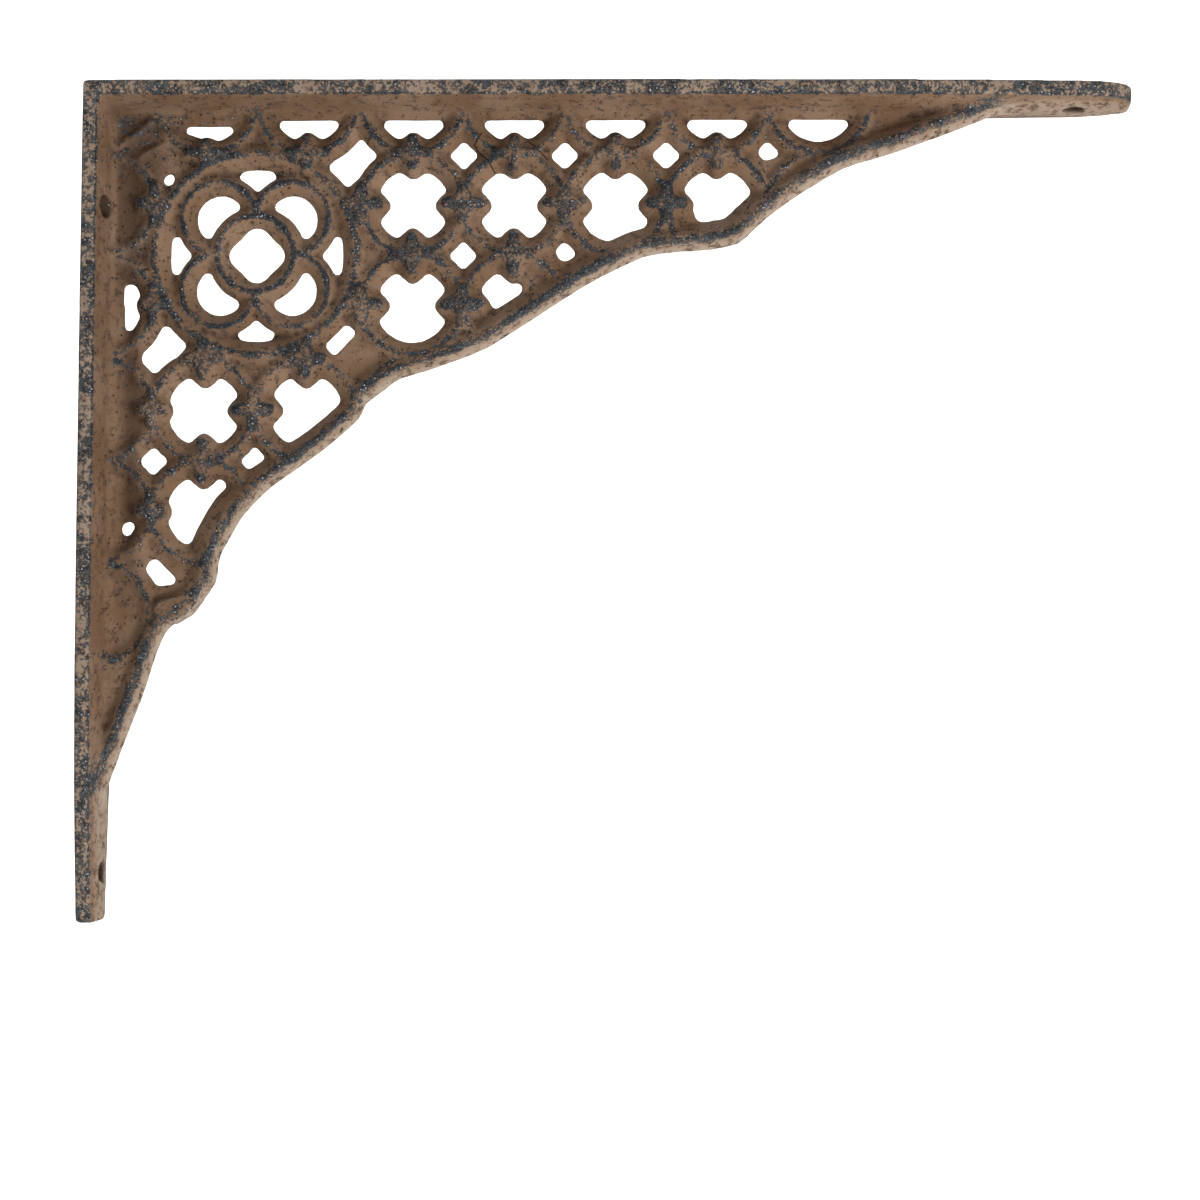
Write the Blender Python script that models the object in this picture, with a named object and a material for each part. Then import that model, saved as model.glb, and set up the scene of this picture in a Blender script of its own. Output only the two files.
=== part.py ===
"""Ornate cast iron shelf bracket, one casting.

Frame: the wall face is the plane X = 0 and the shelf arm reaches out along +X. Z is up. Y runs across the
straps, and Y = 0 is the mid-plane where the two halves of the mould met. The origin is on the wall face,
on the centre line of the wall arm. Sizes are in millimetres. A place on the web is given by its reach off
the wall and its drop below the shelf face. Every profile narrows from the mid-plane towards the front (-Y)
and the back (+Y), as a casting does.
"""

import math

import bmesh
import bpy
from mathutils import Vector

MM = 0.001

# Overall size
SHELF_REACH = 248.0
WALL_DROP = 198.0
ORIGIN_DROP = 75.0

# Straps, the two arms. The edge is the thickness along the front and back edges, and the strap thickens
# towards the mid-plane, where a fillet leads into the web.
STRAP_HALF = 11.0
STRAP_EDGE = 3.4
STRAP_ROOT = 4.9
ROOT_ACROSS = 2.6
SHELF_FILLET = 6.8
WALL_FILLET = 8.2
SHELF_TIP_HALF = 9.0
WALL_TIP_HALF = 6.5
TIP_CHAMFER = 4.5
TIP_FLAT_HALF = 3.5

# Lattice: circles round the quatrefoil openings, one pitch apart, counted from the middle of the rosette
PITCH = 24.25
ROSETTE_INSET = 39.5
FIELD_SHIFT = 1.0
CELL_RADIUS = 12.05
CELL_CREST = 2.3
# Neighbouring circles differ a little in size, height and turn, so that their facets never coincide
CELL_RADIUS_STEP = 0.22
CELL_CREST_STEP = 0.09
CELL_TURN = 0.11
CELL_TURN_STEP = 0.13
CELL_INNER_RUN = 3.5
CELL_OUTER_RUN = 2.7
CELL_STEPS = 16
CREST_LAND = 0.8
CELL_COLUMNS_BY_ROW = {
    -1.5: (-0.5, 0.5, 1.5, 2.5, 3.5, 4.5, 5.5),
    -0.5: (-1.5, 1.5, 2.5, 3.5, 4.5, 5.5),
    0.5: (-1.5, 1.5, 2.5),
    1.5: (-1.5, -0.5, 0.5, 1.5),
    2.5: (-1.5, -0.5),
    3.5: (-1.5, -0.5),
}

# Bosses: pointed crosses on the nodes between neighbouring circles
BOSS_COLUMNS_BY_ROW = {
    -1.0: (-0.5, 0.5, 1.5, 2.5, 3.5, 4.5),
    -0.5: (-1.0, 1.0, 2.0, 3.0, 4.0),
    0.0: (1.5, 2.5),
    0.5: (-1.0, 1.0, 2.0),
    1.0: (-0.5, 0.5),
    1.5: (-1.0, 0.0),
    2.0: (-0.5,),
    2.5: (-1.0,),
}
BOSS_ARM = 6.5
BOSS_TIP_HALF = 1.5
BOSS_WAIST = 3.7
BOSS_CREST = 3.7
BOSS_CREST_ARM = 4.4
BOSS_CREST_TIP_HALF = 0.8
BOSS_CREST_WAIST = 1.5

# Rosette
RING_RADIUS = PITCH
RING_CREST = 3.1
RING_INNER_RUN = 3.7
RING_OUTER_RUN = 2.9
RING_STEPS = 30
RING_TURN = 0.05
HUB_RADIUS = 9.2
HUB_CREST = 2.6
HUB_RUN = 2.7
HUB_STEPS = 16
PETAL_OFFSET = 8.65
PETAL_RADIUS = 8.9
PETAL_CREST = 2.7
PETAL_CREST_STEP = 0.08
PETAL_INNER_RUN = 3.3
PETAL_OUTER_RUN = 2.6
PETAL_ARC = math.radians(250.0)
PETAL_STEPS = 10

# Rim along the sloping side, from the shelf arm round to the wall arm: its outer edge at the mid-plane, the
# height of its crest and how far it runs from the crest into the web
RIM_EDGE = (
    (222.0, 2.6, 4.2, 4.9),
    (212.3, 7.2, 4.8, 4.9),
    (191.9, 14.8, 5.0, 4.9),
    (179.7, 18.6, 5.0, 4.9),
    (167.4, 26.1, 5.0, 4.9),
    (160.9, 31.1, 5.0, 4.9),
    (154.9, 36.6, 5.0, 4.9),
    (148.2, 38.1, 4.9, 4.9),
    (139.6, 38.8, 4.8, 4.9),
    (131.7, 40.0, 4.7, 4.9),
    (117.3, 47.4, 4.5, 4.9),
    (95.4, 61.6, 4.0, 4.9),
    (82.0, 66.9, 3.5, 4.6),
    (74.3, 69.3, 3.4, 4.6),
    (67.1, 73.6, 3.6, 4.6),
    (64.2, 79.1, 4.0, 4.0),
    (55.1, 87.0, 4.3, 4.0),
    (42.8, 95.9, 4.2, 4.6),
    (36.7, 102.6, 4.0, 6.0),
    (31.7, 111.5, 3.9, 5.8),
    (30.8, 117.7, 4.0, 5.0),
    (26.9, 123.5, 4.2, 4.9),
    (19.6, 129.0, 4.4, 4.9),
    (17.1, 133.8, 4.5, 4.9),
    (13.7, 144.6, 4.6, 4.9),
    (9.0, 157.1, 4.6, 4.9),
    (3.6, 172.0, 4.2, 4.9),
)
RIM_OUTER_RUN = 1.7
RIM_LAND = 1.0

# How far inside the straps' outer faces the rim and the web end, and half the width of the block that trims
# the web
RIM_COVER = 1.1
WEB_COVER = 1.6
WEB_LIMIT_HALF = 8.0

# Floors: places where the web stays closed between the ribs
FLOOR_HALF = 0.9
FLOORS = {
    "corner": ((2.0, 2.0), (19.0, 2.0), (19.0, 17.0), (17.0, 19.0), (2.0, 19.0)),
    "rosette_corner": ((19.3, 9.0), (27.0, 11.0), (27.0, 16.5), (20.4, 24.0), (19.4, 24.0)),
    "rosette_top": ((34.2, 2.5), (43.6, 2.5), (43.6, 14.0), (34.2, 14.0)),
    "rosette_right": ((63.4, 35.6), (69.2, 35.2), (69.0, 43.6), (63.6, 43.4)),
    "rosette_foot": ((35.6, 63.4), (43.4, 63.6), (43.6, 69.0), (35.2, 69.2)),
    "rosette_side": ((2.5, 20.0), (14.5, 20.0), (14.5, 46.4), (2.5, 46.4)),
    "wall_upper": ((2.5, 57.6), (12.1, 58.6), (12.1, 103.4), (2.5, 103.9)),
    "wall_lower": (
        (2.5, 107.2),
        (11.8, 107.2),
        (12.2, 113.0),
        (15.0, 118.6),
        (23.0, 119.6),
        (20.0, 124.0),
        (12.0, 133.0),
        (8.0, 146.0),
        (4.0, 160.0),
        (2.5, 160.0),
    ),
    "below_rosette": (
        (63.4, 61.4),
        (72.0, 60.8),
        (78.0, 64.0),
        (70.0, 69.0),
        (63.0, 75.0),
        (60.8, 73.0),
        (60.8, 66.0),
    ),
    "shelf_end": ((182.2, 2.5), (213.0, 2.5), (206.0, 6.5), (188.0, 13.5), (182.2, 14.5)),
}

# Screw holes
HOLE_RADIUS = 2.5
HOLE_STEPS = 16
HOLE_DEPTH = 12.0
SHELF_HOLE_REACH = 234.7
WALL_TOP_HOLE_DROP = 28.9
WALL_TOP_HOLE_ACROSS = 5.6
WALL_TIP_HOLE_DROP = 186.5

IRON_COLOUR = (0.185, 0.125, 0.095, 1.0)
IRON_ROUGHNESS = 0.72
IRON_METALLIC = 0.35


def clear_scene():
    """Remove whatever the file opened with."""
    for item in list(bpy.data.objects):
        bpy.data.objects.remove(item, do_unlink=True)


def spot(reach, drop, across=0.0):
    """A point of the bracket in metres."""
    return Vector((reach, across, ORIGIN_DROP - drop)) * MM


def node_place(column, row):
    """Reach and drop of a lattice node. The outer fields sit a little further out than the rosette's own grid."""
    reach = ROSETTE_INSET + column * PITCH + (FIELD_SHIFT if column >= 1 else 0.0)
    drop = ROSETTE_INSET + row * PITCH + (FIELD_SHIFT if row >= 1 else 0.0)
    return reach, drop


def new_group(name):
    """A collection of helpers that a Boolean reads."""
    group = bpy.data.collections.new(name)
    bpy.context.scene.collection.children.link(group)
    return group


def finish_mesh(name, bm):
    """Turn a closed bmesh into a mesh whose faces point out."""
    bmesh.ops.recalc_face_normals(bm, faces=bm.faces)
    mesh = bpy.data.meshes.new(name)
    bm.to_mesh(mesh)
    bm.free()
    return mesh


def add_helper(name, bm, group):
    """Store a closed shape as a helper object, which only the Booleans read."""
    helper = bpy.data.objects.new(name, finish_mesh(name, bm))
    helper.hide_render = True
    helper.display_type = "WIRE"
    group.objects.link(helper)


def layered(levels):
    """A closed body through outlines with the same number of points, raised one after another."""
    bm = bmesh.new()
    top = bm.faces.new([bm.verts.new(point) for point in levels[0]])
    for step, (below, above) in enumerate(zip(levels, levels[1:])):
        raised = bmesh.ops.extrude_face_region(bm, geom=[top])["geom"]
        if step:
            bmesh.ops.delete(bm, geom=[top], context="FACES_ONLY")
        top = next(item for item in raised if isinstance(item, bmesh.types.BMFace))
        for vert in top.verts:
            nearest = min(range(len(below)), key=lambda index: (vert.co - below[index]).length)
            vert.co = above[nearest]
    return bm


def rib_section(inner_run, outer_run, crest, land=CREST_LAND):
    """Section of a rib, as pairs of the offset from its centre line and the place across the strap."""
    half = land / 2
    return (
        (-inner_run, 0.0),
        (-half, -crest),
        (half, -crest),
        (outer_run, 0.0),
        (half, crest),
        (-half, crest),
    )


def section_at(centre, radius, section, angle):
    """The points of a rib's section where it stands at an angle round a centre."""
    points = []
    for offset, across in section:
        away = radius + offset
        reach = centre[0] + away * math.cos(angle)
        drop = centre[1] + away * math.sin(angle)
        points.append(spot(reach, drop, across))
    return points


def circle_rib(centre, radius, section, steps, turn=0.0):
    """A rib in a full circle: its section is spun about the axis across the strap."""
    bm = bmesh.new()
    verts = [bm.verts.new(point) for point in section_at(centre, radius, section, turn)]
    edges = [bm.edges.new(pair) for pair in zip(verts, verts[1:] + verts[:1])]
    bmesh.ops.spin(
        bm,
        geom=verts + edges,
        cent=spot(*centre),
        axis=(0.0, 1.0, 0.0),
        angle=math.tau,
        steps=steps,
        use_merge=True,
    )
    return bm


def arc_rib(centre, radius, section, middle_angle, arc, steps):
    """A rib in part of a circle, with closed ends."""
    start = middle_angle - arc / 2
    angles = [start + arc * step / steps for step in range(steps + 1)]
    return layered([section_at(centre, radius, section, angle) for angle in angles])


def cross_outline(centre, arm, tip_half, waist, across):
    """A cross with blunt tips, at one place across the strap."""
    points = []
    for quarter in range(4):
        angle = quarter * math.pi / 2
        along = (math.cos(angle), math.sin(angle))
        aside = (-along[1], along[0])
        for forward, sideways in ((arm, -tip_half), (arm, tip_half), (waist, waist)):
            reach = centre[0] + forward * along[0] + sideways * aside[0]
            drop = centre[1] + forward * along[1] + sideways * aside[1]
            points.append(spot(reach, drop, across))
    return points


def add_boss(name, centre, group):
    """A cross-shaped boss that reaches through the web, highest at its middle."""
    crest = (BOSS_CREST_ARM, BOSS_CREST_TIP_HALF, BOSS_CREST_WAIST)
    levels = (
        cross_outline(centre, *crest, -BOSS_CREST),
        cross_outline(centre, BOSS_ARM, BOSS_TIP_HALF, BOSS_WAIST, 0.0),
        cross_outline(centre, *crest, BOSS_CREST),
    )
    add_helper(name, layered(levels), group)


def add_lattice(group):
    """The circles round the openings and the bosses where the circles meet."""
    for row, columns in CELL_COLUMNS_BY_ROW.items():
        for column in columns:
            odd = round(column + row) % 2
            section = rib_section(CELL_INNER_RUN, CELL_OUTER_RUN, CELL_CREST + CELL_CREST_STEP * odd)
            radius = CELL_RADIUS + CELL_RADIUS_STEP * odd
            turn = CELL_TURN + CELL_TURN_STEP * odd
            cell = circle_rib(node_place(column, row), radius, section, CELL_STEPS, turn)
            add_helper(f"cell_{column}_{row}", cell, group)
    for row, columns in BOSS_COLUMNS_BY_ROW.items():
        for column in columns:
            add_boss(f"boss_{column}_{row}", node_place(column, row), group)


def rosette_ring():
    """The ring round the rosette, which the rest of the bracket is joined to."""
    section = rib_section(RING_INNER_RUN, RING_OUTER_RUN, RING_CREST)
    return circle_rib((ROSETTE_INSET, ROSETTE_INSET), RING_RADIUS, section, RING_STEPS, RING_TURN)


def add_rosette(group):
    """The hub of the rosette and the four petals between it and the ring."""
    centre = (ROSETTE_INSET, ROSETTE_INSET)
    hub = rib_section(HUB_RUN, HUB_RUN, HUB_CREST)
    add_helper("hub", circle_rib(centre, HUB_RADIUS, hub, HUB_STEPS), group)
    for quarter in range(4):
        outward = (quarter + 0.5) * math.pi / 2
        away = PETAL_OFFSET * math.sqrt(2.0)
        petal_centre = (centre[0] + away * math.cos(outward), centre[1] + away * math.sin(outward))
        crest = PETAL_CREST + PETAL_CREST_STEP * (quarter % 2)
        section = rib_section(PETAL_INNER_RUN, PETAL_OUTER_RUN, crest)
        petal = arc_rib(petal_centre, PETAL_RADIUS, section, outward, PETAL_ARC, PETAL_STEPS)
        add_helper(f"petal_{quarter}", petal, group)


def rim_frames():
    """For each point of the rim's outer edge: its place, the way into the web and the stretch of a mitre there."""
    places = [Vector(point[:2]) for point in RIM_EDGE]
    frames = []
    for index, place in enumerate(places):
        before = (place - places[max(index - 1, 0)]).normalized()
        after = (places[min(index + 1, len(places) - 1)] - place).normalized()
        heading = (before + after).normalized()
        inward = Vector((-heading.y, heading.x))
        leg = after if after.length else before
        frames.append((place, inward, 1.0 / heading.dot(leg)))
    return frames


def inset_rim_point(frame, depth, cover):
    """Reach and drop at a depth inside the rim's outer edge, kept a cover away from the straps' outer faces."""
    place, inward, stretch = frame
    point = place + inward * depth * stretch
    return max(point.x, cover), max(point.y, cover)


def rim_levels():
    """The sections of the rim from the shelf arm to the wall arm."""
    land_end = RIM_OUTER_RUN + RIM_LAND
    levels = []
    for frame, (_, _, crest, inner_run) in zip(rim_frames(), RIM_EDGE):
        section = (
            (0.0, 0.0),
            (RIM_OUTER_RUN, -crest),
            (land_end, -crest),
            (land_end + inner_run, 0.0),
            (land_end, crest),
            (RIM_OUTER_RUN, crest),
        )
        levels.append([spot(*inset_rim_point(frame, depth, RIM_COVER), across) for depth, across in section])
    return levels


def web_limit():
    """A block that holds the web: it ends inside the straps and under the crest of the rim."""
    depth = RIM_OUTER_RUN + RIM_LAND / 2
    outline = [(WEB_COVER, WEB_COVER)]
    outline += [inset_rim_point(frame, depth, WEB_COVER) for frame in rim_frames()]
    levels = [
        [spot(reach, drop, across) for reach, drop in outline] for across in (-WEB_LIMIT_HALF, WEB_LIMIT_HALF)
    ]
    return layered(levels)


def add_floors(group):
    """The closed panels of the web."""
    for name, outline in FLOORS.items():
        levels = [
            [spot(reach, drop, across) for reach, drop in outline] for across in (-FLOOR_HALF, FLOOR_HALF)
        ]
        add_helper(f"floor_{name}", layered(levels), group)


def strap_section(half, root, fillet):
    """Section of a strap, as pairs of the depth from its outer face and the place across it."""
    return (
        (0.0, -half),
        (STRAP_EDGE, -half),
        (root, -ROOT_ACROSS),
        (fillet, 0.0),
        (root, ROOT_ACROSS),
        (STRAP_EDGE, half),
        (0.0, half),
    )


def strap_levels():
    """The sections of both arms in one run, from the shelf tip round the mitred corner to the wall tip."""
    bare = (STRAP_ROOT - 0.4, STRAP_ROOT)
    tip = (STRAP_EDGE + 0.5, STRAP_EDGE + 0.8)
    shelf = (
        (SHELF_REACH, TIP_FLAT_HALF, *tip),
        (SHELF_REACH - TIP_CHAMFER, SHELF_TIP_HALF - 1.2, *bare),
        (SHELF_REACH - 3 * TIP_CHAMFER, SHELF_TIP_HALF, *bare),
        (216.0, 9.8, *bare),
        (186.0, 10.4, STRAP_ROOT, SHELF_FILLET),
        (60.0, STRAP_HALF, STRAP_ROOT, SHELF_FILLET),
    )
    wall = (
        (60.0, STRAP_HALF, STRAP_ROOT, WALL_FILLET),
        (140.0, 10.3, STRAP_ROOT, WALL_FILLET),
        (166.0, 9.2, *bare),
        (WALL_DROP - 2.0, WALL_TIP_HALF, *bare),
        (WALL_DROP, WALL_TIP_HALF - 2.0, *tip),
    )
    levels = []
    for reach, half, root, fillet in shelf:
        levels.append([spot(reach, depth, across) for depth, across in strap_section(half, root, fillet)])
    corner = strap_section(STRAP_HALF, STRAP_ROOT, SHELF_FILLET)
    levels.append([spot(depth, depth, across) for depth, across in corner])
    for drop, half, root, fillet in wall:
        levels.append([spot(depth, drop, across) for depth, across in strap_section(half, root, fillet)])
    return levels


def add_hole(name, centre, axis, group):
    """A cutter for one screw hole."""
    bm = bmesh.new()
    bmesh.ops.create_cone(
        bm,
        cap_ends=True,
        segments=HOLE_STEPS,
        radius1=HOLE_RADIUS * MM,
        radius2=HOLE_RADIUS * MM,
        depth=2 * HOLE_DEPTH * MM,
        matrix=axis.to_track_quat("Z", "Y").to_matrix().to_4x4(),
    )
    bmesh.ops.translate(bm, verts=bm.verts, vec=centre)
    add_helper(name, bm, group)


def add_holes(group):
    """One hole near the shelf tip, one near the wall tip and a pair beside the web near the corner."""
    up = Vector((0.0, 0.0, 1.0))
    out = Vector((1.0, 0.0, 0.0))
    add_hole("shelf_hole", spot(SHELF_HOLE_REACH, 0.0), up, group)
    add_hole("wall_tip_hole", spot(0.0, WALL_TIP_HOLE_DROP), out, group)
    for side in (-1, 1):
        centre = spot(0.0, WALL_TOP_HOLE_DROP, side * WALL_TOP_HOLE_ACROSS)
        add_hole(f"wall_top_hole_{side}", centre, out, group)


def add_boolean(item, name, operation, group):
    """Join a group of helpers to the object, or cut it with them."""
    boolean = item.modifiers.new(name, "BOOLEAN")
    boolean.operation = operation
    boolean.solver = "EXACT"
    boolean.operand_type = "COLLECTION"
    boolean.collection = group


def cast_iron():
    """Brown painted cast iron."""
    material = bpy.data.materials.new("cast_iron")
    material.use_nodes = True
    shader = material.node_tree.nodes["Principled BSDF"]
    shader.inputs["Base Color"].default_value = IRON_COLOUR
    shader.inputs["Roughness"].default_value = IRON_ROUGHNESS
    shader.inputs["Metallic"].default_value = IRON_METALLIC
    material.diffuse_color = IRON_COLOUR
    return material


def main():
    clear_scene()
    web = new_group("web")
    web_bounds = new_group("web_bounds")
    frame = new_group("frame")
    holes = new_group("screw_holes")
    add_lattice(web)
    add_rosette(web)
    add_floors(web)
    add_helper("web_limit", web_limit(), web_bounds)
    add_helper("rim", layered(rim_levels()), frame)
    add_helper("straps", layered(strap_levels()), frame)
    add_holes(holes)

    bracket = bpy.data.objects.new("bracket", finish_mesh("bracket", rosette_ring()))
    bpy.context.scene.collection.objects.link(bracket)
    bracket.data.materials.append(cast_iron())
    add_boolean(bracket, "join_web", "UNION", web)
    add_boolean(bracket, "trim_web", "INTERSECT", web_bounds)
    add_boolean(bracket, "join_frame", "UNION", frame)
    add_boolean(bracket, "cut_screw_holes", "DIFFERENCE", holes)


main()
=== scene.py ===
"""Looks of the ornate cast iron shelf bracket: the casting in full relief, its rubbed brown finish and a studio.

Sizes are in millimetres and places on the web are given as the reach off the wall and the drop below the shelf
face, as in the part. Meshes are in metres in the part's own frame: X out from the wall, Z up, Y across the straps,
with the front at -Y. The casting is the same on its front and its back.
"""

import logging
import math
from dataclasses import dataclass, field
from enum import Enum
from functools import reduce
from typing import Iterable, Sequence

import bmesh
import bpy
import numpy as np
from mathutils import Euler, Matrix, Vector, noise

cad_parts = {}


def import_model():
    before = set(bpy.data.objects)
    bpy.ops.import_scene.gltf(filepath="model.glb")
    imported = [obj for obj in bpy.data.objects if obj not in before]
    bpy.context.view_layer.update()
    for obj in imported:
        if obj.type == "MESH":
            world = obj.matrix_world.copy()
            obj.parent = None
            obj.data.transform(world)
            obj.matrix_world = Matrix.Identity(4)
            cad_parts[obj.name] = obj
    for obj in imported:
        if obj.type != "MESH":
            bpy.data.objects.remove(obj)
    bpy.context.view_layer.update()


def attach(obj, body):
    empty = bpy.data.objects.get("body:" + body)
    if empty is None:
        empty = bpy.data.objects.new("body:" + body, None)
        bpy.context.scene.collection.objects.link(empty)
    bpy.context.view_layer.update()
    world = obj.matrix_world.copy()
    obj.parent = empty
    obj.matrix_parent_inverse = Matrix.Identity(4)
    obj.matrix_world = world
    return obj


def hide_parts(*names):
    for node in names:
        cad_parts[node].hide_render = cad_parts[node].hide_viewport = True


LOG = logging.getLogger("shelf_bracket")
MM = 0.001
ORIGIN_DROP = 75.0
FAR = 1e9
TINY = 1e-9

Pair = tuple[float, float]
Triple = tuple[float, float, float]
Section = list[Pair]
Colour = tuple[float, float, float, float]
Outline = tuple[Pair, ...]
Rows = tuple[tuple[float, ...], ...]
Array = np.ndarray
Thing = bpy.types.Object
Shape = bmesh.types.BMesh
Socket = bpy.types.NodeSocket
Source = Socket | float | Colour


class Attribute(Enum):
    """Names of the values that the casting's vertices carry for its finish."""

    RUB = "rub"
    SHADE_AND_PATINA = "painted_shade_and_patina"
    CRACK = "crack"
    DUST_AND_LIGHT = "dust_and_painted_light"


def place(reach: float, drop: float, across: float = 0.0) -> Vector:
    """Point in metres from its reach off the wall, its drop and its place across the straps, mm."""
    return Vector((reach, across, ORIGIN_DROP - drop)) * MM


def smooth_rise(value: Array, low: float, high: float) -> Array:
    """Soft step over numbers, from 0 at low to 1 at high, which may be below low."""
    share = np.clip((value - low) / (high - low), 0.0, 1.0)
    return share * share * (3.0 - 2.0 * share)


def near(distance: Array, width: float) -> Array:
    """Bell that is 1 on a line and fades over a width."""
    return np.exp(-((distance / width) ** 2))


def nearest_on_path(points: Array, path: Sequence[Pair]) -> tuple[Array, Array, Array]:
    """Nearest places of a broken line, in the plane of the web.

    Args:
        points: Rows of reach and drop, mm.
        path: Corners of the line.

    Returns:
        For each point its distance, mm, the nearest place, and a number that is below 0 past the line.
    """
    best = np.full(len(points), FAR)
    places = points.copy()
    side = np.zeros(len(points))
    for start, end in zip(path, path[1:]):
        first = np.array(start)
        leg = np.array(end) - first
        share = np.clip((points - first) @ leg / max(float(leg @ leg), TINY), 0.0, 1.0)
        foot = first + share[:, None] * leg
        gap = points - foot
        away = np.hypot(gap[:, 0], gap[:, 1])
        closer = away < best - TINY
        best[closer] = away[closer]
        places[closer] = foot[closer]
        side[closer] = (gap[:, 1] * leg[0] - gap[:, 0] * leg[1])[closer]
    return best, places, side


def distance_to_path(points: Array, path: Sequence[Pair]) -> Array:
    """Distance, mm, from rows of reach and drop to a broken line."""
    return nearest_on_path(points, path)[0]


def sideways(line: Sequence[Vector]) -> list[Vector]:
    """Direction square to a line at each of its points: its heading turned a quarter from reach towards drop."""
    spans = zip([line[0], *line[:-1]], [*line[1:], line[-1]])
    return [Vector((behind.y - ahead.y, ahead.x - behind.x)).normalized() for behind, ahead in spans]


@dataclass(frozen=True)
class Skin:
    """Vertices of the casting: rows of reach and drop, and distances from the mid-plane, all in mm."""

    plane: Array
    height: Array

    def to_path(self, path: Sequence[Pair]) -> Array:
        """Distance from each vertex to a broken line, mm."""
        return distance_to_path(self.plane, path)

    def to_spot(self, spot: Pair) -> Array:
        """Distance from each vertex to a place of the web, mm."""
        return np.hypot(self.plane[:, 0] - spot[0], self.plane[:, 1] - spot[1])

    def above(self, low: float, high: float) -> Array:
        """Soft step over the height, from 0 at low to 1 at high."""
        return smooth_rise(self.height, low, high)


def mesh_of(bm: Shape, name: str) -> bpy.types.Mesh:
    """Make a mesh of a bmesh and free the bmesh.

    Args:
        bm: The shape.
        name: Name of the mesh.

    Returns:
        The mesh.
    """
    mesh = bpy.data.meshes.new(name)
    bm.to_mesh(mesh)
    bm.free()
    return mesh


def show(name: str, data: bpy.types.ID) -> Thing:
    """Make an object in the scene.

    Args:
        name: Its name.
        data: Its mesh, lamp or camera.

    Returns:
        The object.
    """
    item = bpy.data.objects.new(name, data)
    bpy.context.scene.collection.objects.link(item)
    return item


def vertex_rows(mesh: bpy.types.Mesh, field_name: str) -> Array:
    """Places ("co") or normals ("normal") of a mesh's vertices, a row for each."""
    rows = np.zeros(len(mesh.vertices) * 3)
    mesh.vertices.foreach_get(field_name, rows)
    return rows.reshape(-1, 3)


@dataclass(frozen=True)
class Rib:
    """Section of a cast rib, rounded at its crest and straight down to its sharp sides at the mid-plane."""

    inner_run: float
    outer_run: float
    crest: float
    flank: Outline = ((1.0, 0.0), (0.80, 0.27), (0.52, 0.62), (0.25, 0.90), (0.08, 1.0))

    def rubbed(self, skin: Skin, away: Array, band: float = 0.95, sunk: float = 0.0) -> Array:
        """How rubbed vertices at a distance from the crest's line are, by the band's width and what it is sunk."""
        return near(away, band) * skin.above(self.crest - 0.75 - sunk, self.crest - 0.25 - sunk)

    def section(self) -> Section:
        """Closed section.

        Returns:
            Pairs of the offset from the crest line and the place across the strap.
        """
        back = [(-self.inner_run * run, self.crest * rise) for run, rise in self.flank]
        back += [(self.outer_run * run, self.crest * rise) for run, rise in reversed(self.flank)]
        front = [(offset, -across) for offset, across in reversed(back[1:-1])]
        return back + front


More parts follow.
